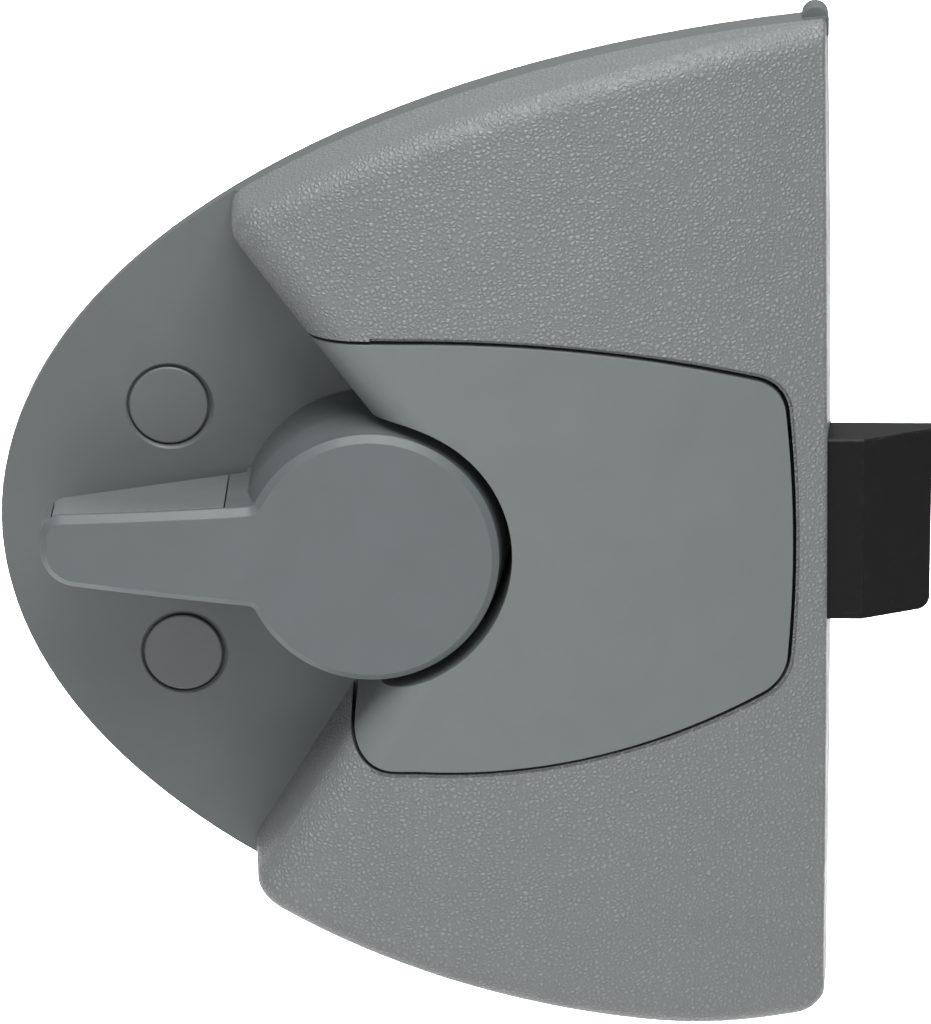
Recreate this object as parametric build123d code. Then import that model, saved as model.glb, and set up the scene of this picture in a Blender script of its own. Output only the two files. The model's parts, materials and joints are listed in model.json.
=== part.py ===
from build123d import *
import math
import os

# Stair gate latch, in millimetres. The origin is the lever's axis on the mounting face.
# +X points towards the bolt, +Z up, and the front of the latch faces -Y.
# A "level" is a height above the mounting face, so level L lies at Y = -L.

# Housing outline: two half ellipses, cut off by a bowed right edge and a flatter foot
OUTLINE_CENTRE_X = 109.7
OUTLINE_CENTRE_Z = -1.0
OUTLINE_HALF_LENGTH = 172.5
OUTLINE_UPPER_HEIGHT = 89.0
OUTLINE_LOWER_HEIGHT = 90.9
FOOT_Z = -87.6
FOOT_BEND_X = 54.0
FOOT_BLEND_RADIUS = 100.0
RIGHT_EDGE_TOP_X = 74.9
RIGHT_EDGE_MIDDLE_X = 76.6
RIGHT_EDGE_FOOT_X = 76.9
RIGHT_WALL_DRAFT = 4.5
RIGHT_WALL_SETBACK = 0.05
RIGHT_EDGE_RADIUS = 1.0
LOWER_CORNER_RADIUS = 6.0
EAR_RADIUS = 2.2

# Crowned front of the cover: an arc in X, swept about an axis parallel to X
CROWN_LEVEL = 29.5
CROWN_X = 5.0
CROWN_RADIUS_X = 164.0
CROWN_RADIUS_Z = 900.0
LEFT_ROLL_RADIUS = 7.0
OUTER_ROLL_RADIUS = 4.0

# The cover's two slanting left walls, as lines near the flange: a point and an angle from +X
UPPER_WALL_POINT = (-10.7, 35.1)
UPPER_WALL_ANGLE = 127.75
LOWER_WALL_POINT = (-7.6, -36.1)
LOWER_WALL_ANGLE = 239.1
WALL_LINE_LEVEL = 5.0
LEFT_WALL_DRAFT = 4.0

# Base moulding and back plate
PLATE_THICKNESS = 1.5
PLATE_INSET = 2.7
RIM_WIDTH = 2.5
RIM_LEVEL = 6.0
RIM_LOW_LEVEL = 3.6
RIM_RAMP_X = (-27.0, 5.0)
FLOOR_LEVEL = 5.2
FLANGE_CROWN_RADIUS = 1200.0
GROUND_OVERRUN = 5.0
CHANNEL_LEVEL = 3.9

# Shells
COVER_WALL = 3.0
PANEL_WALL = 2.8
PANEL_GAP = 0.6
PANEL_STEP_WIDTH = 0.5
PANEL_STEP_DEPTH = 0.45
PANEL_HALF_HEIGHT = 36.4
PANEL_LOWER_EXTRA = 0.9
PANEL_CURVE_X = 8.0
PANEL_RIGHT_X = 69.8
PANEL_CORNER_RADIUS = 7.0
PANEL_STEP_START_X = 0.0
PANEL_HEEL = (-8.3, 7.0)

# Lever
KNOB_RADIUS = 21.2
KNOB_LEVEL = 29.8
KNOB_BACK_LEVEL = 5.9
KNOB_WALL = 2.2
KNOB_CAP_LEVEL = 26.5
KNOB_CHAMFER = 1.2
KNOB_SKIRT_RADIUS = 22.3
KNOB_SKIRT_LEVEL = 20.0
POCKET_RADIUS = 23.3
POCKET_WALL = 1.5
ARM_REACH = 54.8
ARM_HALF_WIDTH_ROOT = 10.2
ARM_HALF_WIDTH_TIP = 5.7
ARM_TIP_DROP = 3.6
ARM_DROP_START_X = -12.0
ARM_UNDERSIDE_ROOT = 8.5
ARM_UNDERSIDE_TIP = 17.0
ARM_ROOT_FILLET = 1.8
ARM_TIP_FILLETS = (4.0, 6.0)
GRIP_THICKNESS = 1.3
GRIP_X = (-53.0, -24.0)
GRIP_SEAM = 0.25
HUB_RADIUS = 7.5
HUB_LEVEL = 18.4

# Spindle, crank and tail
SPINDLE_RADIUS = 4.0
SPINDLE_LEVELS = (1.65, 25.5)
RUNNING_CLEARANCE = 0.05
BUSH_RADIUS = 6.0
BOSS_RADIUS = 8.2
BOSS_LEVEL = 15.5
BOSS_REAR_POCKET = (7.2, 3.0)
CRANK_RADIUS = 16.5
CRANK_REST_ANGLE = 60.0
CRANK_TRAVEL = 60.0
CRANK_LEVELS = (16.35, 18.35)
CRANK_PIN_RADIUS = 1.6
CRANK_PIN_LOW_LEVEL = 1.9
ROLLER_RADIUS = 2.3
SLOT_CLEARANCE = 0.3
CRANK_SCREW_RADIUS = 1.5
CRANK_SCREW_CIRCLE = 11.0
CRANK_SCREW_ANGLES = (185.0, 295.0)
RETURN_COIL_RADIUS = 10.2
RETURN_WIRE = 0.7
RETURN_COIL_LEVELS = (6.4, 11.6)
RETURN_TURNS = 3
BUMPER_RADIUS = 1.5
BUMPER_ANGLE = 14.1

# Bolt, its case and its springs
BOLT_TRAVEL = 16.5
BOLT_HALF_HEIGHT = 15.65
BOLT_LEVELS = (1.8, 11.8)
BOLT_X = (50.0, 93.1)
BOLT_BEVEL_X = 81.5
BOLT_TIP_LEVEL = 5.3
BOLT_CORNER = 2.0
BOLT_CHAMFER = 0.3
BOLT_CLEARANCE = 0.3
CASE_X = (25.0, 66.0)
CASE_WALL = 1.3
CASE_LOW_LEVEL = 4.0
CASE_TAB_X = (29.0, 60.0)
CASE_TAB_Z = 21.0
CASE_TAB_SIZE = (8.0, 7.4)
SPRING_Z = 8.0
SPRING_LEVEL = 7.4
SPRING_RADIUS = 2.9
SPRING_WIRE = 0.45
SPRING_TURNS = 9
SPRING_SEAT = (3.8, 3.0)
ROD_RADIUS = 1.4
ROD_END_X = 52.0
TAIL_LEVELS = (1.7, 3.7)
TAIL_WIDE_X = (42.0, 66.0)
TAIL_WIDE_HALF = 13.0
TAIL_ARM_Z = (9.2, 15.0)
FORK_WALL = 2.6
RIVET_X = (55.0, 62.0)
RIVET_RADIUS = 1.5

# Mounting holes, screw caps and hidden fasteners, as (X, Z)
SCREW_HOLE_RADIUS = 2.75
SCREW_SINK_RADIUS = 4.4
CAP_RADIUS = 6.6
CAP_RECESS_RADIUS = 6.95
CAP_RING_RADIUS = 7.45
CAP_THICKNESS = 1.3
FLANGE_HOLES = {"upper_screw_cap": (-34.4, 18.8), "lower_screw_cap": (-32.4, -24.7)}
INNER_HOLES = ((40.0, 28.0), (40.0, -28.0))
COVER_POSTS = ((-6.0, 50.0), (58.0, 70.0), (-2.0, -50.0), (58.0, -70.0))
PANEL_PEGS = ((29.5, 30.0), (29.5, -30.0), (50.5, 26.0), (50.5, -26.0))
PLATE_SCREWS = ((16.0, 62.0), (16.0, -62.0), (66.0, 45.0), (66.0, -45.0))
POST_RADIUS = 3.5
SMALL_SCREW_RADIUS = 1.3
COVER_SCREW_REACH = 11.0
SMALL_HEAD_RADIUS = 2.7

FRONT = Plane(origin=(0, 0, 0), x_dir=(1, 0, 0), z_dir=(0, -1, 0))
FAR = 400.0
TOP_LEVEL = CROWN_LEVEL + 4


# ---------------------------------------------------------------- drawing helpers


def at_level(level):
    return FRONT.offset(level)


def slab(sketch, low, high, **options):
    """A sketch drawn on the mounting face, as a solid between two levels."""
    return extrude(at_level(low) * sketch, high - low, **options)


def disc(radius, low, high, centre=(0.0, 0.0)):
    return slab(Pos(*centre) * Circle(radius), low, high)


def ring(outer, inner, low, high, centre=(0.0, 0.0)):
    return disc(outer, low, high, centre) - disc(inner, low, high, centre)


def cone(radius_low, radius_high, low, high, centre):
    """A cone standing off the mounting face, wide or narrow end first."""
    middle = -(low + high) / 2
    shape = Cone(radius_low, radius_high, high - low)
    return Pos(centre[0], middle, centre[1]) * Rot(90, 0, 0) * shape


def block(x_range, z_range, levels):
    width = x_range[1] - x_range[0]
    height = z_range[1] - z_range[0]
    middle = ((x_range[0] + x_range[1]) / 2, (z_range[0] + z_range[1]) / 2)
    return slab(Pos(*middle) * Rectangle(width, height), *levels)


def polar(radius, degrees):
    angle = math.radians(degrees)
    return radius * math.cos(angle), radius * math.sin(angle)


def rod_along_x(radius, x_range, z, level):
    plane = Plane(origin=(x_range[0], -level, z), x_dir=(0, 1, 0), z_dir=(1, 0, 0))
    return extrude(plane * Circle(radius), x_range[1] - x_range[0])


def side_prism(points):
    """A profile given as (x, level) points, as a prism right across the height."""
    outline_points = [Vector(x, -level, -FAR) for x, level in points]
    profile = Face(Wire.make_polygon(outline_points, close=True))
    return extrude(profile, 2 * FAR, dir=(0, 0, 1))


def joined(shapes):
    """Separate solids that share one node."""
    return Compound(children=list(shapes))


def straight_mark(face, x, y):
    """The sketch vertex nearest to a point."""
    return min(face.vertices(), key=lambda v: math.dist((v.X, v.Y), (x, y)))


# ---------------------------------------------------------------- housing outline


def ellipse_height(x, half_height):
    share = (OUTLINE_CENTRE_X - x) / OUTLINE_HALF_LENGTH
    return half_height * math.sqrt(1 - share**2)


CORNER_Z = OUTLINE_CENTRE_Z + ellipse_height(RIGHT_EDGE_TOP_X, OUTLINE_UPPER_HEIGHT)


def right_side(inset=0.0):
    """Everything to the left of the bowed right edge."""
    edge = ThreePointArc(
        (RIGHT_EDGE_FOOT_X - inset, FOOT_Z + inset),
        (RIGHT_EDGE_MIDDLE_X - inset, 0),
        (RIGHT_EDGE_TOP_X - inset, CORNER_Z),
    )
    start, end = edge @ 0, edge @ 1
    rest = Polyline(end, (end.X, FAR), (-FAR, FAR), (-FAR, -FAR), (start.X, -FAR), start)
    return make_face(edge + rest)


def outline(inset=0.0):
    """The housing's outline with its flatter foot and rounded lower right corner."""
    upper = Ellipse(OUTLINE_HALF_LENGTH - inset, OUTLINE_UPPER_HEIGHT - inset)
    lower = Ellipse(OUTLINE_HALF_LENGTH - inset, OUTLINE_LOWER_HEIGHT - inset)
    foot_z = FOOT_Z + inset
    centre = Pos(OUTLINE_CENTRE_X, OUTLINE_CENTRE_Z)
    depth = OUTLINE_CENTRE_Z - foot_z
    ovals = Pos(0, OUTLINE_CENTRE_Z + FAR / 2) * Rectangle(FAR, FAR) & centre * upper
    ovals += Pos(0, foot_z + depth / 2) * Rectangle(FAR, depth) & centre * lower
    face = ovals & right_side(inset)
    corner = straight_mark(face, RIGHT_EDGE_FOOT_X - inset, foot_z)
    face = fillet(corner, LOWER_CORNER_RADIUS - inset / 2)
    bend = straight_mark(face, FOOT_BEND_X, foot_z)
    return fillet(bend, FOOT_BLEND_RADIUS)


def wall_normal(angle, side):
    dx, dz = polar(1.0, angle)
    return -dz * side, dx * side


def wall_apex(inset):
    """Where the two left wall lines meet, after moving both to the right."""
    n1 = wall_normal(UPPER_WALL_ANGLE, -1)
    n2 = wall_normal(LOWER_WALL_ANGLE, 1)
    c1 = n1[0] * UPPER_WALL_POINT[0] + n1[1] * UPPER_WALL_POINT[1] + inset
    c2 = n2[0] * LOWER_WALL_POINT[0] + n2[1] * LOWER_WALL_POINT[1] + inset
    det = n1[0] * n2[1] - n1[1] * n2[0]
    return (c1 * n2[1] - c2 * n1[1]) / det, (n1[0] * c2 - n2[0] * c1) / det


def wedge(inset=0.0):
    """The region between the two left wall lines, open to the right."""
    apex = Vector(*wall_apex(inset))
    upper = apex + Vector(*polar(FAR, UPPER_WALL_ANGLE))
    lower = apex + Vector(*polar(FAR, LOWER_WALL_ANGLE))
    return make_face(Polyline(apex, upper, (2 * FAR, FAR), (2 * FAR, -FAR), lower, apex))


def left_walls(inset, low):
    """The drafted wedge; its lines hold at WALL_LINE_LEVEL."""
    shift = WALL_LINE_LEVEL * math.tan(math.radians(LEFT_WALL_DRAFT))
    face = wedge(inset - shift)
    shape = slab(face, 0, TOP_LEVEL, taper=LEFT_WALL_DRAFT)
    return shape + slab(face, low, 0) if low < 0 else shape


def right_wall(inset, low):
    """The drafted right side, which starts just inside the outline's own edge."""
    face = right_side(inset + RIGHT_WALL_SETBACK)
    shape = slab(face, 0, TOP_LEVEL, taper=RIGHT_WALL_DRAFT)
    return shape + slab(face, low, 0) if low < 0 else shape


def crown(inset=0.0):
    """The solid behind the crowned front surface."""
    torus = Torus(CROWN_RADIUS_Z - CROWN_RADIUS_X, CROWN_RADIUS_X - inset)
    axis_y = CROWN_RADIUS_Z - CROWN_LEVEL
    return Pos(CROWN_X, axis_y, 0) * Rot(0, 90, 0) * torus


def envelope(inset=0.0, low=0.0):
    """The cover's closed shape with sharp edges, moved inwards by the inset."""
    walls = slab(outline(inset), low, TOP_LEVEL)
    return walls & right_wall(inset, low) & left_walls(inset, low) & crown(inset)


def nearest_edge(shape, x, level, z):
    target = Vector(x, -level, z)
    return min(shape.edges(), key=lambda edge: (edge.center() - target).length)


def rounded_envelope():
    """The cover's closed shape with rolled front edges."""
    shape = envelope()
    rolls = [
        (LEFT_ROLL_RADIUS, [(-1, 28.5, 29), (2, 28.5, -30)]),
        (OUTER_ROLL_RADIUS, [(25, 21.5, 77.5), (26, 21.4, -77.8)]),
        (RIGHT_EDGE_RADIUS, [(75.5, 14, 1)]),
    ]
    for radius, places in rolls:
        shape = fillet([nearest_edge(shape, *place) for place in places], radius)
    return shape


OUTER = rounded_envelope()


# ---------------------------------------------------------------- base moulding


def slot_angles():
    return CRANK_REST_ANGLE, CRANK_REST_ANGLE + CRANK_TRAVEL


def arc_slot(half_width):
    """The crank pin's path through the floor, as a bent slot."""
    start, end = slot_angles()
    middle = (start + end) / 2
    points = [polar(CRANK_RADIUS, angle) for angle in (start, middle, end)]
    path = ThreePointArc(*points)
    return trace(path, 2 * half_width) + [Pos(*p) * Circle(half_width) for p in points[::2]]


def ear():
    """A small rounded lug at the upper right corner of the rim."""
    centre = (RIGHT_EDGE_TOP_X - EAR_RADIUS, CORNER_Z - 0.6)
    lug = Pos(*centre) * Circle(EAR_RADIUS)
    foot_width = 2 * EAR_RADIUS + 1
    foot = Pos(centre[0] - 0.5, centre[1] - 1.6) * Rectangle(foot_width, 2.2)
    return slab((lug + foot) & right_side(), 0, WALL_LINE_LEVEL)


def fastener_holes():
    """Everything that is drilled through or into the base moulding from either face."""
    cuts = []
    for centre in INNER_HOLES:
        cuts.append(disc(SCREW_HOLE_RADIUS, -1, TOP_LEVEL, centre))
    for centre in COVER_POSTS:
        cuts.append(disc(SMALL_SCREW_RADIUS, 0, FLOOR_LEVEL + 1, centre))
        cuts.append(disc(SMALL_HEAD_RADIUS, 0, PLATE_THICKNESS + 1.7, centre))
    for centre in PLATE_SCREWS:
        cuts.append(disc(SMALL_SCREW_RADIUS, 0, 8.0, centre))
    for centre in tab_centres():
        cuts.append(disc(SMALL_SCREW_RADIUS, 2.0, FLOOR_LEVEL + 1, centre))
    for centre in PANEL_PEGS:
        cuts.append(disc(2.6, 6.0, TOP_LEVEL, centre))
    return cuts


def tab_centres():
    return [(x, side * CASE_TAB_Z) for x in CASE_TAB_X for side in (1, -1)]


def cap_seats():
    """Countersunk holes and round recesses for the two screw caps on the flange."""
    cuts = []
    for x, z in FLANGE_HOLES.values():
        surface = flange_level(x, z)
        seat = surface - CAP_THICKNESS
        cuts.append(disc(CAP_RECESS_RADIUS, seat, TOP_LEVEL, (x, z)))
        widening = CAP_RING_RADIUS - CAP_RECESS_RADIUS
        cuts.append(cone(CAP_RECESS_RADIUS, CAP_RING_RADIUS + widening, surface - widening,
                         surface + widening, (x, z)))
        cuts.append(cone(SCREW_HOLE_RADIUS, SCREW_SINK_RADIUS, PLATE_THICKNESS, seat, (x, z)))
    return cuts


def flange_level(x, z):
    return FLOOR_LEVEL - (x**2 + z**2) / (2 * FLANGE_CROWN_RADIUS)


def flange_dome():
    centre_y = FLANGE_CROWN_RADIUS - FLOOR_LEVEL
    return Pos(0, centre_y, 0) * Sphere(FLANGE_CROWN_RADIUS)


def tail_channel():
    """The groove under the floor in which the tail plate slides."""
    fork = ROLLER_RADIUS + SLOT_CLEARANCE + FORK_WALL
    pin_x = CRANK_RADIUS * math.cos(math.radians(CRANK_REST_ANGLE))
    left = pin_x - fork - BOLT_TRAVEL - 0.7
    fork_groove = block((left, CASE_X[0] + 1), (8.5, 22.3), (0, CHANNEL_LEVEL))
    wide_left = TAIL_WIDE_X[0] - BOLT_TRAVEL - 0.7
    wide_groove = block((wide_left, CASE_X[0] + 3), (-13.6, 8.6), (0, CHANNEL_LEVEL))
    return [fork_groove, wide_groove]


def aperture(levels):
    half = BOLT_HALF_HEIGHT + BOLT_CLEARANCE
    return block((CASE_X[1] - 2, RIGHT_EDGE_FOOT_X + 5), (-half, half), levels)


def ground():
    """Crowned flange, ramped rim and sunken floor, running on past the housing's outline."""
    ramp = [
        (-FAR, -GROUND_OVERRUN),
        (-FAR, RIM_LOW_LEVEL + 1.6),
        (RIM_RAMP_X[0], RIM_LOW_LEVEL + 1.6),
        (RIM_RAMP_X[1], RIM_LEVEL),
        (FAR, RIM_LEVEL),
        (FAR, -GROUND_OVERRUN),
    ]
    solid = slab(outline(-GROUND_OVERRUN), -GROUND_OVERRUN, RIM_LEVEL) & side_prism(ramp)
    inner_floor = wedge(COVER_WALL + 0.1) - Circle(POCKET_RADIUS + POCKET_WALL)
    outside = slab(outline(-2 * GROUND_OVERRUN) - inner_floor, 0, TOP_LEVEL)
    solid -= outside - flange_dome()
    well = outline(RIM_WIDTH + 0.1) & inner_floor
    return solid - slab(well, FLOOR_LEVEL, TOP_LEVEL)


def base_moulding(blank):
    blank &= slab(outline(), 0, RIM_LEVEL) & right_wall(0, 0)
    blank = blank + ear() - slab(outline(PLATE_INSET - 0.2), -1, PLATE_THICKNESS)
    blank += disc(BOSS_RADIUS, PLATE_THICKNESS, BOSS_LEVEL)
    for centre in PANEL_PEGS:
        blank += disc(4.2, PLATE_THICKNESS, 12.0, centre)
    for centre in PLATE_SCREWS:
        blank += disc(POST_RADIUS, PLATE_THICKNESS, 9.0, centre)

    half_well = BOLT_HALF_HEIGHT + BOLT_CLEARANCE + CASE_WALL + 0.2
    case_well = block((CASE_X[0] - 0.2, CASE_X[1] + 3), (-half_well, half_well), (-1, 8))
    cuts = [
        case_well,
        aperture((BOLT_LEVELS[0] - 0.4, TOP_LEVEL)),
        disc(BUSH_RADIUS, 0, TOP_LEVEL),
        disc(BOSS_REAR_POCKET[0], 0, BOSS_REAR_POCKET[1]),
        slab(arc_slot(ROLLER_RADIUS + SLOT_CLEARANCE), 0, FLOOR_LEVEL + 1),
        disc(1.25, CHANNEL_LEVEL, 9, anchor_centre()),
    ]
    for centre in bumper_centres():
        cuts.append(disc(BUMPER_RADIUS, CHANNEL_LEVEL + 0.4, FLOOR_LEVEL + 1, centre))
    for cut in cuts + tail_channel() + fastener_holes() + cap_seats():
        blank -= cut
    return blank


def back_plate():
    plate = slab(outline(PLATE_INSET), 0, PLATE_THICKNESS)
    for centre in list(FLANGE_HOLES.values()) + list(INNER_HOLES):
        plate -= disc(SCREW_HOLE_RADIUS, -1, 3, centre)
    for centre in PLATE_SCREWS:
        plate -= cone(SMALL_HEAD_RADIUS + 0.1, SMALL_SCREW_RADIUS + 0.1, 0, PLATE_THICKNESS, centre)
    return plate


def screw_cap(centre):
    """A round cap whose face follows the flange."""
    surface = flange_level(*centre)
    cap = disc(CAP_RADIUS, surface - CAP_THICKNESS, surface + 2, centre) & flange_dome()
    rim = cap.edges().filter_by(GeomType.LINE, reverse=True).sort_by(Axis.Y)[0]
    return fillet(rim, 0.3)


# ---------------------------------------------------------------- cover and panel


def panel_outline(grow=0.0):
    """The insert panel in plan: straight near the lever, tapering round to its right edge."""
    far_left = -FAR / 4
    top = PANEL_HALF_HEIGHT + grow
    bottom = -PANEL_HALF_HEIGHT - PANEL_LOWER_EXTRA - grow
    upper_start, upper_corner = (PANEL_CURVE_X, top), (67.8 + grow, 26.0 + grow)
    lower_start, lower_corner = (PANEL_CURVE_X, bottom), (68.8 + grow, -24.9 - grow)
    upper_edge = ThreePointArc(upper_start, (44.0, 32.7 + grow), upper_corner)
    lower_edge = ThreePointArc(lower_start, (44.0, -33.9 - grow), lower_corner)
    right_edge = ThreePointArc(upper_corner, (PANEL_RIGHT_X + grow, 0), lower_corner)
    heel_x, heel_radius = PANEL_HEEL
    rise = math.tan(math.radians(LOWER_WALL_ANGLE - 180))
    heel, nook = (heel_x - 2 * grow, bottom), (heel_x - 2 * grow - bottom / rise, 0)
    left_edges = Polyline(lower_start, heel, nook, (far_left, 0), (far_left, top), upper_start)
    face = make_face([upper_edge, right_edge, lower_edge, left_edges])
    corners = [straight_mark(face, *point) for point in (upper_corner, lower_corner)]
    face = fillet(corners, PANEL_CORNER_RADIUS + grow)
    return fillet(straight_mark(face, *heel), heel_radius + grow)


def cover_posts():
    """Screw posts that stand on the floor and carry the cover."""
    posts = []
    for centre in COVER_POSTS:
        post = disc(POST_RADIUS, FLOOR_LEVEL, TOP_LEVEL, centre) & envelope(COVER_WALL / 2)
        posts.append(post - disc(SMALL_SCREW_RADIUS, 0, COVER_SCREW_REACH + 0.4, centre))
    return posts


def textured_cover(terrain):
    """The grained shell, cut out for the panel, the lever pocket and the bolt."""
    cover = OUTER - envelope(COVER_WALL, -5)
    for post in cover_posts():
        cover += post
    cover -= slab(panel_outline(PANEL_GAP), 0, TOP_LEVEL)
    step = OUTER - envelope(PANEL_STEP_DEPTH)
    step &= slab(panel_outline(PANEL_GAP + PANEL_STEP_WIDTH), WALL_LINE_LEVEL, TOP_LEVEL)
    cover -= step & block((PANEL_STEP_START_X, FAR), (-FAR, FAR), (0, TOP_LEVEL))
    cover -= disc(POCKET_RADIUS + POCKET_WALL + PANEL_GAP, 0, TOP_LEVEL)
    cover -= aperture((0, BOLT_LEVELS[1] + BOLT_CLEARANCE))
    return cover - terrain


def insert_panel(terrain):
    panel = (OUTER - envelope(PANEL_WALL, -5)) & slab(panel_outline(), 0, TOP_LEVEL)
    panel += disc(POCKET_RADIUS + POCKET_WALL, 0, TOP_LEVEL) & OUTER
    panel -= disc(POCKET_RADIUS, -1, TOP_LEVEL)
    for centre in PANEL_PEGS:
        panel += disc(2.0, 7.0, TOP_LEVEL, centre) & envelope(PANEL_WALL / 2)
    return panel - terrain


def panel_clips():
    return joined(ring(2.58, 2.02, 7.0, 11.5, centre) for centre in PANEL_PEGS)


# ---------------------------------------------------------------- lever


def arm_sketch(root, tip):
    points = [(0, root), (-ARM_REACH, tip), (-ARM_REACH, -tip), (0, -root)]
    arm = make_face(Polyline(*points, points[0]))
    for point, radius in zip(points[1:3], ARM_TIP_FILLETS):
        arm = fillet(straight_mark(arm, *point), radius)
    return arm


def lever_side(front_drop=0.0):
    """The lever seen from below: a flat knob, then a front that curves back to the tip."""
    run = ARM_REACH - abs(ARM_DROP_START_X)
    front = KNOB_LEVEL - front_drop
    mid = (ARM_DROP_START_X - run / 2, front - ARM_TIP_DROP / 4)
    edge_points = [
        (ARM_DROP_START_X, front),
        mid,
        (ARM_DROP_START_X - run, front - ARM_TIP_DROP),
    ]
    p1, p2, p3 = [Vector(x, -level, -FAR) for x, level in edge_points]
    arc = ThreePointArc(p1, p2, p3)
    rest = [
        (ARM_DROP_START_X - run, front - ARM_TIP_DROP),
        (-ARM_REACH - 3, front - ARM_TIP_DROP - 0.4),
        (-ARM_REACH - 3, ARM_UNDERSIDE_TIP),
        (-KNOB_RADIUS, ARM_UNDERSIDE_ROOT),
        (-KNOB_RADIUS, KNOB_BACK_LEVEL),
        (FAR / 4, KNOB_BACK_LEVEL),
        (FAR / 4, front),
        (ARM_DROP_START_X, front),
    ]
    line = Polyline(*[Vector(x, -level, -FAR) for x, level in rest])
    profile = make_face(arc + line)
    return extrude(profile, 2 * FAR, dir=(0, 0, 1))


def lever_blank():
    plan = Circle(KNOB_RADIUS) + arm_sketch(ARM_HALF_WIDTH_ROOT, ARM_HALF_WIDTH_TIP)
    joints = [v for v in plan.vertices() if -22 < v.X < -15]
    plan = fillet(joints, ARM_ROOT_FILLET)
    blank = slab(plan, 0, TOP_LEVEL) & lever_side()
    front_edges = [
        edge
        for edge in blank.edges()
        if -edge.center().Y > KNOB_LEVEL - ARM_TIP_DROP - 0.6 and not is_cross_line(edge)
    ]
    blank = chamfer(front_edges, KNOB_CHAMFER)
    flank = (KNOB_SKIRT_LEVEL, KNOB_LEVEL - KNOB_CHAMFER - 0.05)
    blank += disc(KNOB_SKIRT_RADIUS, KNOB_BACK_LEVEL, KNOB_SKIRT_LEVEL)
    return blank + cone(KNOB_SKIRT_RADIUS, KNOB_RADIUS - 0.1, *flank, (0, 0))


def is_cross_line(edge):
    """The hidden seam across the lever where the curved arm meets the flat knob."""
    ends = edge.vertices()
    return len(ends) == 2 and all(abs(v.X - ARM_DROP_START_X) < 0.01 for v in ends)


def grip_zone(side, seam=0.0):
    """The strip along one side of the arm that the grip insert fills."""
    start = (GRIP_X[0] + seam, GRIP_X[1] - seam)
    slope = (ARM_HALF_WIDTH_ROOT - ARM_HALF_WIDTH_TIP) / ARM_REACH
    strip = []
    for x in start:
        surface = ARM_HALF_WIDTH_ROOT + slope * x
        strip.append((x, side * (surface - GRIP_THICKNESS)))
    outer = [(x, side * 20) for x in reversed(start)]
    face = make_face(Polyline(*strip, *outer, strip[0]))
    return slab(face, 0, TOP_LEVEL) & lever_side(KNOB_CHAMFER + 0.6 + seam)


def lever_handle(blank):
    lever = blank - grip_zone(1) - grip_zone(-1)
    inner = KNOB_RADIUS - KNOB_WALL
    lever -= disc(inner, 0, KNOB_CAP_LEVEL)
    lever += disc(HUB_RADIUS, HUB_LEVEL, KNOB_CAP_LEVEL)
    for centre in crank_screw_centres():
        lever += disc(2.8, CRANK_LEVELS[1] + 0.05, KNOB_CAP_LEVEL, centre)
        lever -= disc(CRANK_SCREW_RADIUS, 0, 24.5, centre)
    lever -= disc(SPINDLE_RADIUS, 0, SPINDLE_LEVELS[1])
    return lever - disc(CRANK_PIN_RADIUS, 0, 20, polar(CRANK_RADIUS, CRANK_REST_ANGLE))


def lever_grip(blank, side):
    return blank & grip_zone(side, GRIP_SEAM)


def crank_screw_centres():
    return [polar(CRANK_SCREW_CIRCLE, angle) for angle in CRANK_SCREW_ANGLES]


def crank():
    """A flat plate on the spindle that carries the crank pin."""
    pin = polar(CRANK_RADIUS, CRANK_REST_ANGLE)
    plate = make_hull([*Circle(7.0).edges(), *(Pos(*pin) * Circle(2.4)).edges()])
    for centre in crank_screw_centres():
        plate += make_hull([*Circle(5.6).edges(), *(Pos(*centre) * Circle(3.0)).edges()])
        plate -= Pos(*centre) * Circle(CRANK_SCREW_RADIUS)
    plate -= Circle(SPINDLE_RADIUS)
    plate -= Pos(*pin) * Circle(CRANK_PIN_RADIUS)
    return slab(plate, *CRANK_LEVELS)


def crank_screws():
    screws = []
    for centre in crank_screw_centres():
        head = disc(2.5, CRANK_LEVELS[0] - 1.5, CRANK_LEVELS[0], centre)
        recess = disc(1.1, CRANK_LEVELS[0] - 2, CRANK_LEVELS[0] - 0.7, centre)
        screws.append(head - recess + disc(CRANK_SCREW_RADIUS, CRANK_LEVELS[0], 24.0, centre))
    return joined(screws)


def spindle():
    shaft = disc(SPINDLE_RADIUS, *SPINDLE_LEVELS)
    return shaft - ring(SPINDLE_RADIUS + 1, SPINDLE_RADIUS - 0.6, 1.95, 2.65)


def retaining_ring():
    clip = ring(6.2, SPINDLE_RADIUS - 0.55, 2.0, 2.6)
    mouth = block((-2.2, 2.2), (-8, 0), (0, 5))
    return clip - mouth


def thrust_washer():
    return ring(6.6, SPINDLE_RADIUS + 0.1, 2.68, 2.96)


def spindle_bushes():
    inner = SPINDLE_RADIUS + RUNNING_CLEARANCE
    rear = ring(BUSH_RADIUS, inner, BOSS_REAR_POCKET[1], 8.0)
    front = ring(BUSH_RADIUS, inner, 10.5, BOSS_LEVEL)
    front += ring(7.4, inner, BOSS_LEVEL, BOSS_LEVEL + 0.6)
    return rear, front


def crank_pin():
    pin = polar(CRANK_RADIUS, CRANK_REST_ANGLE)
    return disc(CRANK_PIN_RADIUS, CRANK_PIN_LOW_LEVEL, CRANK_LEVELS[1], pin)


def pin_roller():
    pin = polar(CRANK_RADIUS, CRANK_REST_ANGLE)
    return ring(ROLLER_RADIUS, CRANK_PIN_RADIUS, CRANK_PIN_LOW_LEVEL, CHANNEL_LEVEL + 1.6, pin)


# ---------------------------------------------------------------- return spring and stops


def anchor_centre():
    return polar(14.5, -60)


def bumper_centres():
    start, end = slot_angles()
    return [polar(CRANK_RADIUS, angle) for angle in (start - BUMPER_ANGLE, end + BUMPER_ANGLE)]


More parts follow.
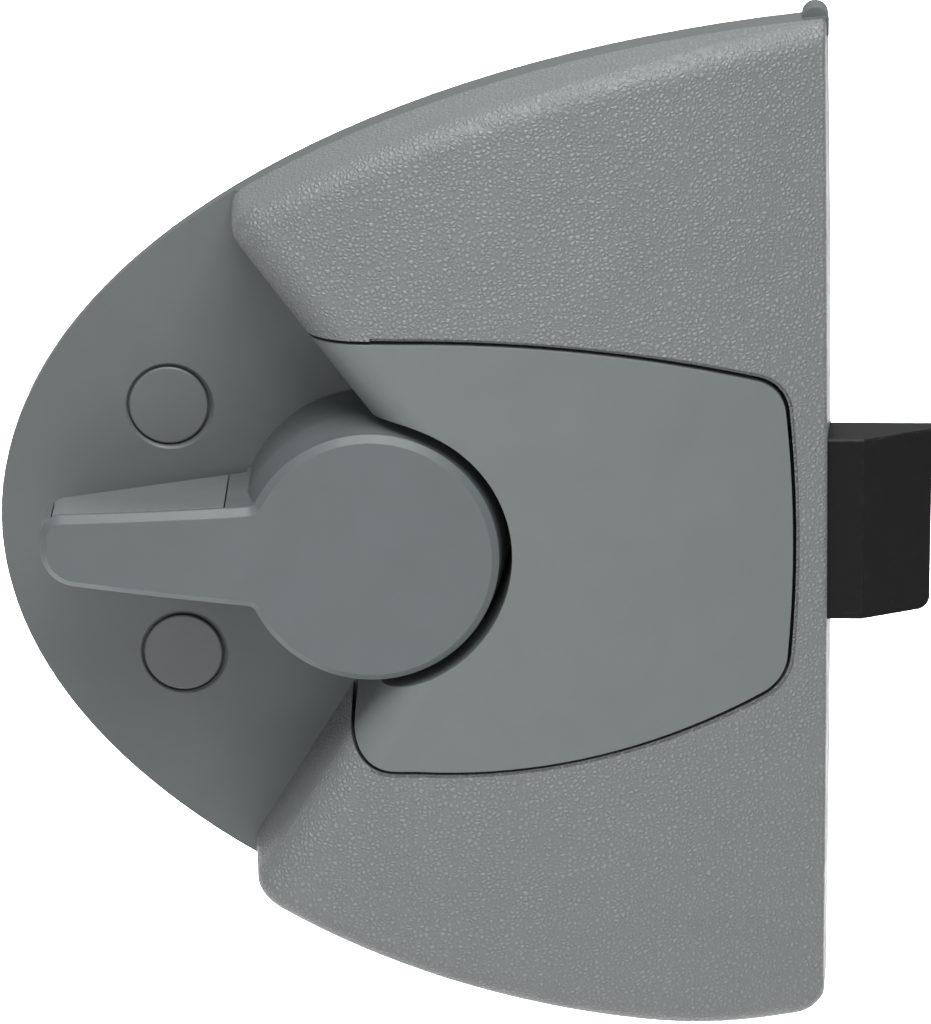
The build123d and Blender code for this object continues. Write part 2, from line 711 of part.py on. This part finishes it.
def coil(radius, wire, turns, length):
    """A helical wire about local Z, drawn from the origin up."""
    helix = Helix(pitch=length / turns, height=length, radius=radius)
    start = Plane(origin=helix @ 0, z_dir=helix % 0)
    return sweep(start * Circle(wire), helix)


def spring_leg(start, end, wire):
    direction = end - start
    plane = Plane(origin=start, z_dir=direction)
    return extrude(plane * Circle(wire), direction.length)


def return_spring():
    """A torsion spring round the boss, with one leg on the anchor and one on the crank pin."""
    low, high = RETURN_COIL_LEVELS
    body = coil(RETURN_COIL_RADIUS, RETURN_WIRE, RETURN_TURNS + 0.36, high - low)
    body = Pos(0, -low, 0) * Rot(90, 0, 0) * Rot(0, 0, -60) * body
    leg_angle = CRANK_REST_ANGLE + 10.6
    low_leg = spring_leg(
        level_point(RETURN_COIL_RADIUS, -60, low),
        level_point(13.1, -60, low),
        RETURN_WIRE,
    )
    high_leg = spring_leg(
        level_point(RETURN_COIL_RADIUS, leg_angle, high),
        level_point(17.8, leg_angle, high),
        RETURN_WIRE,
    )
    return body + low_leg + high_leg


def level_point(radius, degrees, level):
    x, z = polar(radius, degrees)
    return Vector(x, -level, z)


def spring_anchor():
    return disc(1.25, CHANNEL_LEVEL, 9, anchor_centre())


def stop_bumpers():
    low = CHANNEL_LEVEL + 0.4
    return joined(disc(BUMPER_RADIUS, low, 9.0, centre) for centre in bumper_centres())


# ---------------------------------------------------------------- bolt


def latch_bolt():
    """The spring bolt: a block with a bevelled nose, drilled for the guide rods."""
    low, high = BOLT_LEVELS
    profile = [
        (BOLT_X[0], low),
        (BOLT_X[1], low),
        (BOLT_X[1], BOLT_TIP_LEVEL),
        (BOLT_BEVEL_X, high),
        (BOLT_X[0], high),
    ]
    bolt = side_prism(profile) & block(BOLT_X, (-BOLT_HALF_HEIGHT, BOLT_HALF_HEIGHT), (0, 20))
    lower_tip = nearest_edge(bolt, BOLT_X[1], (low + BOLT_TIP_LEVEL) / 2, -BOLT_HALF_HEIGHT)
    bolt = fillet(lower_tip, BOLT_CORNER)
    upper_edges = [
        nearest_edge(bolt, (BOLT_X[0] + BOLT_BEVEL_X) / 2, high, BOLT_HALF_HEIGHT),
        nearest_edge(bolt, (BOLT_X[1] + BOLT_BEVEL_X) / 2, 8.5, BOLT_HALF_HEIGHT),
    ]
    bolt = chamfer(upper_edges, BOLT_CHAMFER)
    seat_radius, seat_depth = SPRING_SEAT
    for side in (1, -1):
        z = side * SPRING_Z
        bolt -= rod_along_x(ROD_RADIUS + 0.4, (BOLT_X[0] - 1, BOLT_X[0] + 20), z, SPRING_LEVEL)
        seat = (BOLT_X[0] - 1, BOLT_X[0] + seat_depth)
        bolt -= rod_along_x(seat_radius, seat, z, SPRING_LEVEL)
    recess = TAIL_WIDE_HALF + 0.05
    bolt -= block((BOLT_X[0] - 1, TAIL_WIDE_X[1] + 0.05), (-recess, recess), (0, TAIL_LEVELS[1]))
    for x in RIVET_X:
        bolt -= disc(RIVET_RADIUS, 0, 8.0, (x, 0))
    return bolt


def tail_sketch():
    """The tail plate: wide under the bolt, a narrow arm, and a slotted end for the roller."""
    pin_x, pin_z = polar(CRANK_RADIUS, CRANK_REST_ANGLE)
    slot_half = ROLLER_RADIUS + SLOT_CLEARANCE
    slot_z = (pin_z - SLOT_CLEARANCE, CRANK_RADIUS + SLOT_CLEARANCE)
    fork_half = slot_half + FORK_WALL
    fork_z = (TAIL_ARM_Z[0], slot_z[1] + ROLLER_RADIUS + FORK_WALL)
    wide_centre = (TAIL_WIDE_X[0] + TAIL_WIDE_X[1]) / 2
    wide = Pos(wide_centre, 0) * Rectangle(TAIL_WIDE_X[1] - TAIL_WIDE_X[0], 2 * TAIL_WIDE_HALF)
    arm_length = TAIL_WIDE_X[0] + 2 - pin_x
    arm_centre = (pin_x + arm_length / 2, sum(TAIL_ARM_Z) / 2)
    wide_arm_top = min(TAIL_ARM_Z[1], TAIL_WIDE_HALF)
    arm = Pos(*arm_centre) * Rectangle(arm_length, TAIL_ARM_Z[1] - TAIL_ARM_Z[0])
    fork_centre = (pin_x, (fork_z[0] + fork_z[1]) / 2)
    fork = Pos(*fork_centre) * RectangleRounded(2 * fork_half, fork_z[1] - fork_z[0], 2.0)
    slot_centre = (pin_x, (slot_z[0] + slot_z[1]) / 2)
    slot_length = slot_z[1] - slot_z[0] + 2 * slot_half
    slot = Pos(*slot_centre) * Rot(0, 0, 90) * SlotOverall(slot_length, 2 * slot_half)
    return wide + arm + fork - slot


def bolt_tail():
    plate = slab(tail_sketch(), *TAIL_LEVELS)
    for x in RIVET_X:
        plate -= disc(RIVET_RADIUS, 0, 5, (x, 0))
    return plate


def tail_rivets():
    return joined(disc(RIVET_RADIUS, TAIL_LEVELS[0], 7.9, (x, 0)) for x in RIVET_X)


def bolt_case():
    """A three-sided guide round the bolt, with a rear wall and four screw tabs."""
    half = BOLT_HALF_HEIGHT + BOLT_CLEARANCE
    high = BOLT_LEVELS[1] + BOLT_CLEARANCE
    outer = block(CASE_X, (-half - CASE_WALL, half + CASE_WALL), (CASE_LOW_LEVEL, high + CASE_WALL))
    case = outer - block((CASE_X[0] + CASE_WALL, FAR), (-half, half), (0, high))
    for x, z in tab_centres():
        side = math.copysign(1, z)
        width, depth = CASE_TAB_SIZE
        inner_z = side * (half + CASE_WALL / 2)
        z_range = sorted((inner_z, inner_z + side * depth))
        tab = block((x - width / 2, x + width / 2), z_range, (FLOOR_LEVEL, FLOOR_LEVEL + 1.3))
        case += tab - disc(SMALL_SCREW_RADIUS, 0, 20, (x, z))
    for side in (1, -1):
        case -= rod_along_x(ROD_RADIUS, (CASE_X[0] - 1, 30), side * SPRING_Z, SPRING_LEVEL)
    return case


def case_screws():
    top = FLOOR_LEVEL + 1.3
    screws = []
    for centre in tab_centres():
        head = disc(2.5, top, top + 1.6, centre) - disc(1.1, top + 0.7, top + 3, centre)
        screws.append(head + disc(SMALL_SCREW_RADIUS, 2.0, top, centre))
    return joined(screws)


def guide_rods():
    rods = []
    for side in (1, -1):
        rods.append(rod_along_x(ROD_RADIUS, (CASE_X[0], ROD_END_X), side * SPRING_Z, SPRING_LEVEL))
    return joined(rods)


def bolt_spring(side):
    start = CASE_X[0] + CASE_WALL + SPRING_WIRE + 0.05
    end = BOLT_X[0] + SPRING_SEAT[1] - SPRING_WIRE - 0.05
    body = coil(SPRING_RADIUS, SPRING_WIRE, SPRING_TURNS, end - start)
    return Pos(start, -SPRING_LEVEL, side * SPRING_Z) * Rot(0, 90, 0) * body


# ---------------------------------------------------------------- fasteners


def back_screw(centre, seat, reach):
    """A screw put in from behind, with its head sunk below the given level."""
    head = disc(SMALL_HEAD_RADIUS - 0.1, seat - 1.5, seat, centre)
    head -= disc(1.0, seat - 2, seat - 0.8, centre)
    return head + disc(SMALL_SCREW_RADIUS, seat, reach, centre)


def cover_screws():
    seat = PLATE_THICKNESS + 1.7
    return joined(back_screw(centre, seat, COVER_SCREW_REACH) for centre in COVER_POSTS)


def plate_screws():
    screws = []
    for centre in PLATE_SCREWS:
        head = cone(SMALL_HEAD_RADIUS, SMALL_SCREW_RADIUS, 0.1, PLATE_THICKNESS, centre)
        head -= disc(0.9, -1, 0.8, centre)
        screws.append(head + disc(SMALL_SCREW_RADIUS, PLATE_THICKNESS, 7.8, centre))
    return joined(screws)


# ---------------------------------------------------------------- export


def build():
    terrain = ground()
    blank = lever_blank()
    bush_rear, bush_front = spindle_bushes()
    nodes = {
        "back_plate": back_plate(),
        "base_moulding": base_moulding(terrain),
        "textured_cover": textured_cover(terrain),
        "insert_panel": insert_panel(terrain),
        "panel_clips": panel_clips(),
        "lever_handle": lever_handle(blank),
        "lever_grip_upper": lever_grip(blank, 1),
        "lever_grip_lower": lever_grip(blank, -1),
        "spindle": spindle(),
        "spindle_bush_rear": bush_rear,
        "spindle_bush_front": bush_front,
        "retaining_ring": retaining_ring(),
        "thrust_washer": thrust_washer(),
        "crank": crank(),
        "crank_screws": crank_screws(),
        "crank_pin": crank_pin(),
        "pin_roller": pin_roller(),
        "return_spring": return_spring(),
        "spring_anchor": spring_anchor(),
        "stop_bumpers": stop_bumpers(),
        "latch_bolt": latch_bolt(),
        "bolt_tail": bolt_tail(),
        "tail_rivets": tail_rivets(),
        "bolt_case": bolt_case(),
        "case_screws": case_screws(),
        "guide_rods": guide_rods(),
        "bolt_spring_upper": bolt_spring(1),
        "bolt_spring_lower": bolt_spring(-1),
        "cover_screws": cover_screws(),
        "plate_screws": plate_screws(),
    }
    for name, centre in FLANGE_HOLES.items():
        nodes[name] = screw_cap(centre)
    return nodes


os.makedirs("parts", exist_ok=True)
for name, shape in build().items():
    export_step(shape, f"parts/{name}.step")
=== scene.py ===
"""Stair gate latch: materials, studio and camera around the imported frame."""
import json
import math

import bpy
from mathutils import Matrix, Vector


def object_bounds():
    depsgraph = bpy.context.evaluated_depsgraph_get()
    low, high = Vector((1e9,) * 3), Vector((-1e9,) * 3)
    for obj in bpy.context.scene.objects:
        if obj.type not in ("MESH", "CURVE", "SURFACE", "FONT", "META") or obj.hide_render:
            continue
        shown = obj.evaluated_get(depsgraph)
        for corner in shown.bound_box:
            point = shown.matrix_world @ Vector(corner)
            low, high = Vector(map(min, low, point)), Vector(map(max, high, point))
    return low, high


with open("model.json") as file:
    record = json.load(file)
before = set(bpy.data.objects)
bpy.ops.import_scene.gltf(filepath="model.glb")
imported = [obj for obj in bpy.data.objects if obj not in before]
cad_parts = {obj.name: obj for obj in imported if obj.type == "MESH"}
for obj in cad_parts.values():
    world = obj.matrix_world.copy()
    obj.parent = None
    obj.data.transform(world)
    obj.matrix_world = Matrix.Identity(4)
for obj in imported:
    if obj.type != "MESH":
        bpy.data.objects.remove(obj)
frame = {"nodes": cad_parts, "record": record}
cad_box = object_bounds()

MM = 0.001

# Camera, aimed near the middle of the housing's front
CAMERA_AZIMUTH = 1.07
CAMERA_ELEVATION = 17.4
CAMERA_DISTANCE = 1.3
CAMERA_LENS = 271.7
CAMERA_TARGET = Vector((15.1, 0.0, -1.0)) * MM
CAMERA_CLIP_END = 50.0
SENSOR_HEIGHT = 36.0

# Studio, in metres and watts
FLOOR_DROP = 0.35
FLOOR_HALF_SIZE = 8.0
FLOOR_TONE = 0.90
AIR_COLOUR = (0.95, 0.975, 1.0, 1.0)
AIR_STRENGTH = 0.55
WASH_DEPTH = 1.6

# Leather grain
GRAIN_CELL_MM = 0.80
GRAIN_DEPTH_MM = 0.16
GRAIN_WARP_MM = 0.3
GRAIN_WARP_SCALE = 1000.0

SPANGLE_MM = 6.0
EASED_EDGE_SAMPLES = 4

# The mix node's sockets for colours, among those for its other data types
MIX_COLOURS_IN = (6, 7)
MIX_COLOUR_OUT = 2


# ------------------------------------------------------------------ camera and studio


def direction(azimuth, elevation):
    """Unit vector from the object towards a viewer; azimuth 0 is in front, at -Y."""
    a, e = math.radians(azimuth), math.radians(elevation)
    return Vector((math.sin(a) * math.cos(e), -math.cos(a) * math.cos(e), math.sin(e)))


def aim(obj, place, target):
    obj.location = place
    obj.rotation_euler = (target - place).to_track_quat("-Z", "Y").to_euler()


def add_camera():
    data = bpy.data.cameras.new("camera")
    data.sensor_fit = "VERTICAL"
    data.sensor_height = SENSOR_HEIGHT
    data.lens = CAMERA_LENS
    data.clip_end = CAMERA_CLIP_END
    camera = bpy.data.objects.new("camera", data)
    bpy.context.collection.objects.link(camera)
    towards_viewer = direction(CAMERA_AZIMUTH, CAMERA_ELEVATION)
    aim(camera, CAMERA_TARGET + towards_viewer * CAMERA_DISTANCE, CAMERA_TARGET)
    bpy.context.scene.camera = camera


def add_area_light(name, azimuth, elevation, distance, size, power, centre, spread=180.0):
    """A round soft light that is aimed at the centre from the given side."""
    data = bpy.data.lights.new(name, "AREA")
    data.shape = "DISK"
    data.size = size
    data.energy = power
    data.spread = math.radians(spread)
    light = bpy.data.objects.new(name, data)
    bpy.context.collection.objects.link(light)
    aim(light, centre + direction(azimuth, elevation) * distance, centre)


def add_world():
    world = bpy.data.worlds.new("studio_air")
    world.use_nodes = True
    background = world.node_tree.nodes["Background"]
    background.inputs["Color"].default_value = AIR_COLOUR
    background.inputs["Strength"].default_value = AIR_STRENGTH
    bpy.context.scene.world = world


def add_floor(level):
    half = FLOOR_HALF_SIZE
    corners = [(-half, -half, level), (half, -half, level), (half, half, level), (-half, half, level)]
    mesh = bpy.data.meshes.new("floor")
    mesh.from_pydata(corners, [], [(0, 1, 2, 3)])
    floor = bpy.data.objects.new("floor", mesh)
    bpy.context.collection.objects.link(floor)
    surface = Surface("pale_floor")
    surface.set(**{"Base Color": (FLOOR_TONE, FLOOR_TONE, FLOOR_TONE, 1.0), "Roughness": 0.9})
    mesh.materials.append(surface.material)


# ------------------------------------------------------------------ material building


class Surface:
    """A principled material and short ways to add nodes to it."""

    def __init__(self, name):
        self.material = bpy.data.materials.new(name)
        self.material.use_nodes = True
        self.tree = self.material.node_tree
        self.shader = self.tree.nodes["Principled BSDF"]
        self.place = None

    def set(self, **values):
        for name, value in values.items():
            self.shader.inputs[name].default_value = value

    def add(self, kind, **settings):
        node = self.tree.nodes.new(kind)
        for name, value in settings.items():
            setattr(node, name, value)
        return node

    def wire(self, source, target):
        self.tree.links.new(source, target)

    def coordinates(self):
        """Object coordinates in metres, from one node for all of the material's textures."""
        if self.place is None:
            self.place = self.add("ShaderNodeTexCoord")
        return self.place.outputs["Object"]

    def stretched(self, scale):
        node = self.add("ShaderNodeMapping")
        self.wire(self.coordinates(), node.inputs["Vector"])
        node.inputs["Scale"].default_value = scale
        return node.outputs["Vector"]

    def noise(self, cell_mm, detail=3.0, roughness=0.55, vector=None):
        """Noise with features about cell_mm across, as a value from 0 to 1."""
        node = self.add("ShaderNodeTexNoise")
        self.wire(vector or self.coordinates(), node.inputs["Vector"])
        node.inputs["Scale"].default_value = 1.0 / (cell_mm * MM)
        node.inputs["Detail"].default_value = detail
        node.inputs["Roughness"].default_value = roughness
        return node.outputs["Fac"]

    def remap(self, value, low, high, new_low=0.0, new_high=1.0, smooth=True):
        node = self.add("ShaderNodeMapRange")
        node.interpolation_type = "SMOOTHSTEP" if smooth else "LINEAR"
        self.wire(value, node.inputs["Value"])
        node.inputs["From Min"].default_value = low
        node.inputs["From Max"].default_value = high
        node.inputs["To Min"].default_value = new_low
        node.inputs["To Max"].default_value = new_high
        return node.outputs["Result"]

    def math(self, operation, a, b):
        node = self.add("ShaderNodeMath", operation=operation)
        for value, socket in ((a, node.inputs[0]), (b, node.inputs[1])):
            if isinstance(value, (int, float)):
                socket.default_value = value
            else:
                self.wire(value, socket)
        return node.outputs[0]

    def mix(self, factor, first, second):
        """A colour between two colours or colour outputs."""
        node = self.add("ShaderNodeMix", data_type="RGBA")
        self.wire(factor, node.inputs["Factor"])
        for value, index in zip((first, second), MIX_COLOURS_IN):
            socket = node.inputs[index]
            if isinstance(value, tuple):
                socket.default_value = value
            else:
                self.wire(value, socket)
        return node.outputs[MIX_COLOUR_OUT]

    def bump(self, height, depth_mm, strength=1.0, normal=None):
        node = self.add("ShaderNodeBump")
        self.wire(height, node.inputs["Height"])
        node.inputs["Distance"].default_value = depth_mm * MM
        node.inputs["Strength"].default_value = strength
        if normal is not None:
            self.wire(normal, node.inputs["Normal"])
        return node.outputs["Normal"]

    def eased(self, radius_mm):
        """A normal that rounds off sharp edges by a small radius."""
        node = self.add("ShaderNodeBevel")
        node.samples = EASED_EDGE_SAMPLES
        node.inputs["Radius"].default_value = radius_mm * MM
        return node.outputs["Normal"]

    def wear(self, radius_mm):
        """1 on edges and 0 on open faces, from how far the eased normal leaves the true one."""
        geometry = self.add("ShaderNodeNewGeometry")
        dot = self.add("ShaderNodeVectorMath", operation="DOT_PRODUCT")
        self.wire(self.eased(radius_mm), dot.inputs[0])
        self.wire(geometry.outputs["Normal"], dot.inputs[1])
        return self.remap(dot.outputs["Value"], 0.995, 0.85)


def shade(colour, factor):
    return tuple(channel * factor for channel in colour[:3]) + (1.0,)


def srgb(*values):
    """A linear colour from 8-bit display values."""
    linear = [v / 255 / 12.92 if v <= 10 else ((v / 255 + 0.055) / 1.055) ** 2.4 for v in values]
    return tuple(linear) + (1.0,)


# ------------------------------------------------------------------ plastics


def mottled(surface, colour, amount, cell_mm=9.0):
    """Slow, faint changes of tone over a moulding, with fine flecks in them."""
    cloud = surface.noise(cell_mm, detail=4.0)
    fleck = surface.noise(0.35, detail=2.0)
    slow = surface.math("MULTIPLY", cloud, 0.7)
    fast = surface.math("MULTIPLY", fleck, 0.3)
    factor = surface.remap(surface.math("ADD", slow, fast), 0.3, 0.7, smooth=False)
    return surface.mix(factor, shade(colour, 1 - amount), shade(colour, 1 + amount))


def satin_plastic(name, colour, fine_mm=0.28, depth_mm=0.012, roughness=0.52, amount=0.04):
    """Smooth moulded plastic with a spark-eroded satin skin."""
    surface = Surface(name)
    tone = mottled(surface, colour, amount)
    edge = surface.wear(0.5)
    scuff = surface.math("MULTIPLY", edge, surface.remap(surface.noise(1.5), 0.45, 0.65))
    tone = surface.mix(surface.math("MULTIPLY", scuff, 0.35), tone, shade(colour, 1.5))
    surface.wire(tone, surface.shader.inputs["Base Color"])
    gloss = surface.remap(surface.noise(14.0), 0.3, 0.7, roughness - 0.05, roughness + 0.06)
    surface.wire(gloss, surface.shader.inputs["Roughness"])
    skin = surface.bump(surface.noise(fine_mm, detail=2.0), depth_mm, 0.8, surface.eased(0.25))
    surface.wire(skin, surface.shader.inputs["Normal"])
    surface.set(**{"Specular IOR Level": 0.45})
    return surface.material


def pebbles(surface):
    """Irregular rounded cells: 1 on their tops and 0 in the valleys between them."""
    warp = surface.add("ShaderNodeTexNoise")
    surface.wire(surface.coordinates(), warp.inputs["Vector"])
    warp.inputs["Scale"].default_value = GRAIN_WARP_SCALE
    shift = surface.add("ShaderNodeVectorMath", operation="SCALE")
    surface.wire(warp.outputs["Color"], shift.inputs[0])
    shift.inputs["Scale"].default_value = GRAIN_WARP_MM * MM
    moved = surface.add("ShaderNodeVectorMath", operation="ADD")
    surface.wire(surface.coordinates(), moved.inputs[0])
    surface.wire(shift.outputs[0], moved.inputs[1])
    cells = surface.add("ShaderNodeTexVoronoi", feature="DISTANCE_TO_EDGE")
    surface.wire(moved.outputs[0], cells.inputs["Vector"])
    cells.inputs["Scale"].default_value = 1.0 / (GRAIN_CELL_MM * MM)
    return surface.remap(cells.outputs["Distance"], 0.0, 0.45)


def grained_plastic(name, colour):
    """Moulded leather grain all over but for the smooth wall on the bolt's side."""
    surface = Surface(name)
    pebble = pebbles(surface)
    facing = surface.add("ShaderNodeSeparateXYZ")
    surface.wire(surface.place.outputs["Normal"], facing.inputs[0])
    grained = surface.remap(facing.outputs["X"], 0.93, 0.84)
    grain = surface.math("MULTIPLY", pebble, grained)

    tone = mottled(surface, colour, 0.05)
    # Painted shade: the valleys between the pebbles are darkened in the colour itself, standing in
    # for the shade that falls into them.
    painted_valley_shade = surface.math("MULTIPLY", surface.math("SUBTRACT", 1.0, pebble), grained)
    tone = surface.mix(surface.math("MULTIPLY", painted_valley_shade, 0.6), tone, shade(colour, 0.50))
    surface.wire(tone, surface.shader.inputs["Base Color"])
    gloss = surface.remap(surface.noise(12.0), 0.3, 0.7, 0.50, 0.60)
    surface.wire(gloss, surface.shader.inputs["Roughness"])
    fine = surface.bump(surface.noise(0.28, detail=2.0), 0.01, 0.6, surface.eased(0.25))
    leather = surface.bump(grain, GRAIN_DEPTH_MM, 1.0, fine)
    surface.wire(leather, surface.shader.inputs["Normal"])
    surface.set(**{"Specular IOR Level": 0.5})
    return surface.material


def rubbed_black(name):
    """Black glossy moulding, dusty in places, with faint rubbing marks along its travel."""
    surface = Surface(name)
    black, dust = srgb(8, 8, 8), srgb(50, 50, 49)
    haze = surface.remap(surface.noise(4.0, detail=6.0, roughness=0.7), 0.52, 0.80, 0.0, 0.10)
    lines = surface.noise(0.5, detail=2.0, vector=surface.stretched((0.06, 1.0, 1.0)))
    streak = surface.remap(lines, 0.70, 0.80, 0.0, 0.22)
    patches = surface.remap(surface.noise(1.2), 0.45, 0.6)
    edge = surface.math("MULTIPLY", surface.wear(0.35), patches)
    marks = surface.math("MAXIMUM", surface.math("MAXIMUM", haze, streak), edge)
    tone = surface.mix(marks, black, dust)
    surface.wire(tone, surface.shader.inputs["Base Color"])
    gloss = surface.remap(marks, 0.0, 0.6, 0.46, 0.62)
    surface.wire(gloss, surface.shader.inputs["Roughness"])
    skin = surface.bump(surface.noise(0.5), 0.02, 0.7, surface.eased(0.3))
    surface.wire(skin, surface.shader.inputs["Normal"])
    surface.set(**{"Specular IOR Level": 0.12})
    return surface.material


# ------------------------------------------------------------------ metals and rubber


def steel(name, colour, stretch=(1.0, 1.0, 1.0), roughness=0.34, grime=0.25):
    """Plated or ground steel with drawn lines and a little dull handling grease."""
    surface = Surface(name)
    lines = surface.noise(0.35, detail=3.0, vector=surface.stretched(stretch))
    cloud = surface.remap(surface.noise(7.0, detail=5.0), 0.4, 0.75, 0.0, grime)
    tone = surface.mix(cloud, colour, shade(colour, 0.55))
    surface.wire(tone, surface.shader.inputs["Base Color"])
    dulled = surface.math("ADD", lines, cloud)
    gloss = surface.remap(dulled, 0.3, 1.0, roughness - 0.08, roughness + 0.16)
    surface.wire(gloss, surface.shader.inputs["Roughness"])
    drawn = surface.bump(lines, 0.006, 0.5, surface.eased(0.15))
    surface.wire(drawn, surface.shader.inputs["Normal"])
    surface.set(Metallic=1.0)
    return surface.material


def spangled_plate(name):
    """Zinc-coated sheet with large soft spangles."""
    surface = Surface(name)
    cells = surface.add("ShaderNodeTexVoronoi", feature="F1")
    surface.wire(surface.coordinates(), cells.inputs["Vector"])
    cells.inputs["Scale"].default_value = 1.0 / (SPANGLE_MM * MM)
    channels = surface.add("ShaderNodeSeparateColor")
    surface.wire(cells.outputs["Color"], channels.inputs[0])
    spangle = channels.outputs[0]
    tone = surface.mix(spangle, (0.50, 0.51, 0.53, 1.0), (0.62, 0.63, 0.65, 1.0))
    surface.wire(tone, surface.shader.inputs["Base Color"])
    gloss = surface.remap(spangle, 0.0, 1.0, 0.30, 0.46)
    surface.wire(gloss, surface.shader.inputs["Roughness"])
    skin = surface.bump(surface.noise(0.6), 0.01, 0.5, surface.eased(0.2))
    surface.wire(skin, surface.shader.inputs["Normal"])
    surface.set(Metallic=1.0)
    return surface.material


def soft_rubber(name):
    surface = Surface(name)
    colour = srgb(40, 40, 41)
    surface.wire(mottled(surface, colour, 0.15, 2.0), surface.shader.inputs["Base Color"])
    surface.wire(surface.bump(surface.noise(0.3), 0.02, 0.8), surface.shader.inputs["Normal"])
    surface.set(Roughness=0.82)
    return surface.material


def make_materials():
    """One finish for each material slot of the record."""
    across = (1.0, 12.0, 12.0)
    round_shaft = (12.0, 1.0, 12.0)
    return {
        "base_plastic": satin_plastic("base_satin", srgb(66, 70, 70), roughness=0.5),
        "cover_plastic": grained_plastic("cover_grain", srgb(96, 99, 99)),
        "panel_plastic": satin_plastic("panel_satin", srgb(78, 82, 82), depth_mm=0.015),
        "lever_plastic": satin_plastic("lever_satin", srgb(67, 72, 72), depth_mm=0.02),
        "grip_plastic": satin_plastic("grip_satin", srgb(76, 80, 80), fine_mm=0.55, depth_mm=0.09),
        "cap_plastic": satin_plastic("cap_satin", srgb(68, 71, 71), roughness=0.46),
        "bolt_plastic": rubbed_black("bolt_black"),
        "case_plastic": satin_plastic("case_dark", srgb(52, 52, 54)),
        "tail_steel": steel("tail_plated", (0.56, 0.56, 0.57, 1.0), across),
        "plate_steel": spangled_plate("plate_zinc"),
        "crank_steel": steel("crank_stamped", (0.52, 0.52, 0.53, 1.0)),
        "shaft_steel": steel("shaft_ground", (0.62, 0.62, 0.63, 1.0), round_shaft, 0.24, 0.15),
        "spring_steel": steel("spring_wire", (0.42, 0.42, 0.43, 1.0), roughness=0.3),
        "screw_steel": steel("screw_plated", (0.55, 0.54, 0.50, 1.0), roughness=0.32),
        "bush_bronze": steel("bush_sintered", (0.60, 0.43, 0.22, 1.0), roughness=0.42),
        "roller_plastic": satin_plastic("roller_nylon", srgb(222, 220, 210), roughness=0.4),
        "bumper_rubber": soft_rubber("bumper_soft"),
    }


def dress_nodes():
    materials = make_materials()
    slots = {row["node"]: row["material_slot"] for row in frame["record"]["subparts"]}
    for name, node in frame["nodes"].items():
        for socket in node.material_slots:
            socket.material = materials[slots[name]]


# ------------------------------------------------------------------ putting it together

low, high = (Vector(corner) for corner in cad_box)
middle = (low + high) / 2
floor_level = low.z - FLOOR_DROP
backdrop = Vector((0.0, WASH_DEPTH, floor_level))
bpy.context.scene.view_settings.view_transform = "Standard"
add_camera()
add_world()
add_area_light(
    "key", azimuth=8.0, elevation=62.0, distance=1.6, size=1.2, power=54.0, centre=middle,
)
add_area_light(
    "front_fill", azimuth=-12.0, elevation=14.0, distance=2.4, size=1.6, power=18.0, centre=middle,
)
add_area_light(
    "floor_wash", azimuth=180.0, elevation=80.0, distance=1.9, size=2.4, power=70.0,
    centre=backdrop, spread=60.0,
)
add_floor(floor_level)
dress_nodes()
